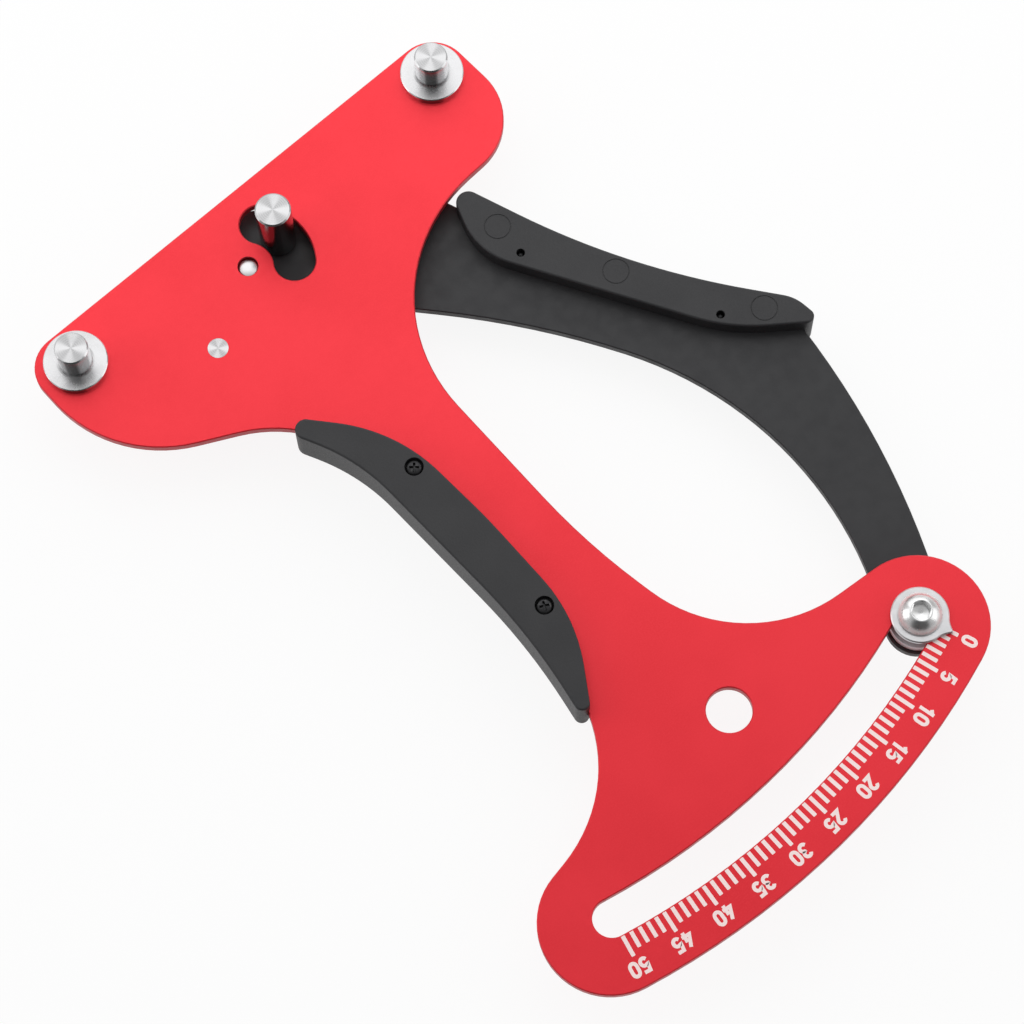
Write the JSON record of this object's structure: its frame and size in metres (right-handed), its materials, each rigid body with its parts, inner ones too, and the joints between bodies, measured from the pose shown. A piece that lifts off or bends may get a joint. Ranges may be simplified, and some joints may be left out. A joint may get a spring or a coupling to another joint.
{
  "type": "spoke tension meter",
  "caption": "Hand-held spoke tension meter: flat red frame with posts for the spoke and an arc scale, and a sprung black lever that carries the moving post and the pointer.",
  "frame": {"origin": "middle of the bounding box in plan, at the height of the lowest points: the tool lies on its back on the heads of the two spring studs, and the lever's rear grip carries the rest", "axes": "+Z out of the front face, the one with the posts and the scale; +X along the spoke, from the left post to the right one; +Y away from the scale, towards the spoke"},
  "size_m": [0.1498, 0.2116, 0.0287],
  "materials": {
    "red_anodised": "satin red anodised plate with rolled edges and a printed pale scale",
    "black_plate": "flat black coating",
    "black_plastic": "fine moulded texture",
    "turned_steel": "turned, with rings on the end faces",
    "zinc_steel": "satin zinc plating",
    "black_screw": "black oxide",
    "spring_wire": "drawn wire"
  },
  "bodies": {
    "frame": {"frame_plate": "red_anodised", "fixed_post_left": "turned_steel", "fixed_post_right": "turned_steel", "fixed_post_screws": "black_screw", "frame_grip_front": "black_plastic", "frame_grip_rear": "black_plastic", "frame_grip_screws": "black_screw", "spring_anchor_stud": "turned_steel", "pivot_screw": "turned_steel", "pivot_spacer": "turned_steel", "pivot_washer": "zinc_steel", "return_spring": "spring_wire"},
    "lever": {"lever_plate": "black_plate", "moving_post": "turned_steel", "moving_post_screw": "black_screw", "spring_lever_stud": "turned_steel", "lever_grip_front": "black_plastic", "lever_grip_rear": "black_plastic", "lever_grip_screws": "black_screw", "slot_washer": "zinc_steel", "slot_bush": "turned_steel", "pointer_washer": "zinc_steel", "pointer_screw": "zinc_steel", "pointer_nut": "zinc_steel"}
  },
  "joints": [
    {"name": "lever_pivot", "type": "hinge", "parent": "frame", "child": "lever", "pos_m": [-0.01651, 0.08878, 0.00902], "axis": [0, 0, -1], "range_deg": [0, 32.4], "stiffness_Nm_per_rad": 4, "springref_deg": -8.59, "deforming": ["return_spring"]}
  ]
}
